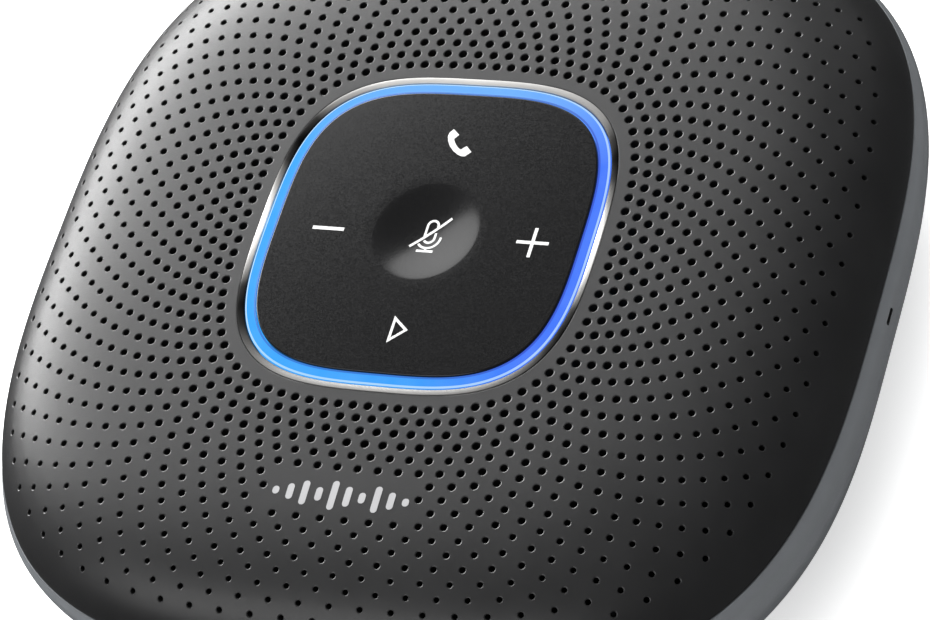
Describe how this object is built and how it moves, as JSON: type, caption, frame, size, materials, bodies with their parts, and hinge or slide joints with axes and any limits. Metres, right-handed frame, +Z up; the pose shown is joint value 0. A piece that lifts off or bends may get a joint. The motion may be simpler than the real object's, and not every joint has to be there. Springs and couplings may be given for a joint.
{
  "type": "conference speakerphone",
  "caption": "Rounded-square table-top speakerphone: perforated black cover over a grey base, with a lit control pad in a bright bezel.",
  "frame": {"origin": "middle of the plane that the part stands on", "axes": "+Z up, -Y the front (the side with the mark), +X the right-hand side"},
  "size_m": [0.123, 0.123, 0.035],
  "materials": {
    "cover_black": "satin moulded plastic, finely perforated",
    "shell_grey": "fine satin grey moulded plastic",
    "pad_black": "satin black with printed marks",
    "light_guide": "milky light guide, lit blue",
    "bezel_chrome": "polished",
    "foot_rubber": "matte",
    "silicone": "matte, translucent",
    "inner_plastic": "plain moulded",
    "steel": "bright plate",
    "zinc_plate": "zinc plate",
    "ferrite": "ground ferrite",
    "cone_paper": "pressed paper",
    "copper": "enamelled winding",
    "board_green": "solder mask",
    "cell_wrap": "shrink-wrapped cell",
    "scrim": "woven cloth",
    "flex_amber": "polyimide",
    "lead_wire": "insulated lead"
  },
  "bodies": {
    "root": {"base_casing": "shell_grey", "top_cover": "cover_black", "acoustic_scrim": "scrim", "foot_ring": "foot_rubber", "case_screw_1": "steel", "case_screw_2": "steel", "case_screw_3": "steel", "case_screw_4": "steel", "centre_bezel": "bezel_chrome", "light_ring": "light_guide", "control_cup": "inner_plastic", "control_board": "board_green", "key_mat": "silicone", "key_guide_frame": "inner_plastic", "key_switch_call": "steel", "key_switch_play": "steel", "key_switch_volume_up": "steel", "key_switch_volume_down": "steel", "key_switch_mute": "steel", "driver_yoke": "zinc_plate", "driver_magnet": "ferrite", "driver_top_plate": "zinc_plate", "driver_basket": "steel", "driver_gasket": "foot_rubber", "spider": "cone_paper", "cone_surround": "foot_rubber", "driver_screw_1": "steel", "driver_screw_2": "steel", "driver_screw_3": "steel", "driver_screw_4": "steel", "battery_cell_left": "cell_wrap", "battery_cell_right": "cell_wrap", "battery_cradle_left": "inner_plastic", "battery_cradle_right": "inner_plastic", "main_board": "board_green", "processor_shield": "steel", "radio_module": "steel", "usb_c_socket": "steel", "audio_jack": "inner_plastic", "power_switch": "steel", "pairing_switch": "steel", "microphone_1": "board_green", "microphone_2": "board_green", "microphone_3": "board_green", "microphone_4": "board_green", "microphone_5": "board_green", "microphone_6": "board_green", "control_ribbon": "flex_amber", "battery_lead_left": "lead_wire", "battery_lead_right": "lead_wire", "speaker_lead": "lead_wire"},
    "pad_post": {"pad_guide_post": "inner_plastic"},
    "pad_ring": {"pad_tilt_ring": "inner_plastic"},
    "pad": {"control_pad": "pad_black"},
    "power_button": {"power_button": "shell_grey"},
    "pairing_button": {"pairing_button": "shell_grey"},
    "cone": {"speaker_cone": "cone_paper", "dust_cap": "cone_paper", "voice_coil": "copper"}
  },
  "joints": [
    {"name": "pad_press", "type": "slide", "parent": "root", "child": "pad_post", "axis": [0, 0, -1], "range_m": [0, 0.0004], "stiffness_N_per_m": 4000, "deforming": ["key_mat"]},
    {"name": "pad_tilt_front_back", "type": "hinge", "parent": "pad_post", "child": "pad_ring", "pos_m": [0, 0, 0.032], "axis": [-1, 0, 0], "range_deg": [-1.4, 1.4], "stiffness_Nm_per_rad": 1.6},
    {"name": "pad_tilt_side", "type": "hinge", "parent": "pad_ring", "child": "pad", "pos_m": [0, 0, 0.032], "axis": [0, 1, 0], "range_deg": [-1.4, 1.4], "stiffness_Nm_per_rad": 1.6},
    {"name": "power_press", "type": "slide", "parent": "root", "child": "power_button", "axis": [0, -1, 0], "range_m": [0, 0.0005], "stiffness_N_per_m": 3000},
    {"name": "pairing_press", "type": "slide", "parent": "root", "child": "pairing_button", "axis": [0, -1, 0], "range_m": [0, 0.0005], "stiffness_N_per_m": 3000},
    {"name": "cone_stroke", "type": "slide", "parent": "root", "child": "cone", "axis": [0, 0, 1], "range_m": [-0.001, 0.001], "stiffness_N_per_m": 1800, "deforming": ["cone_surround", "spider"]}
  ]
}
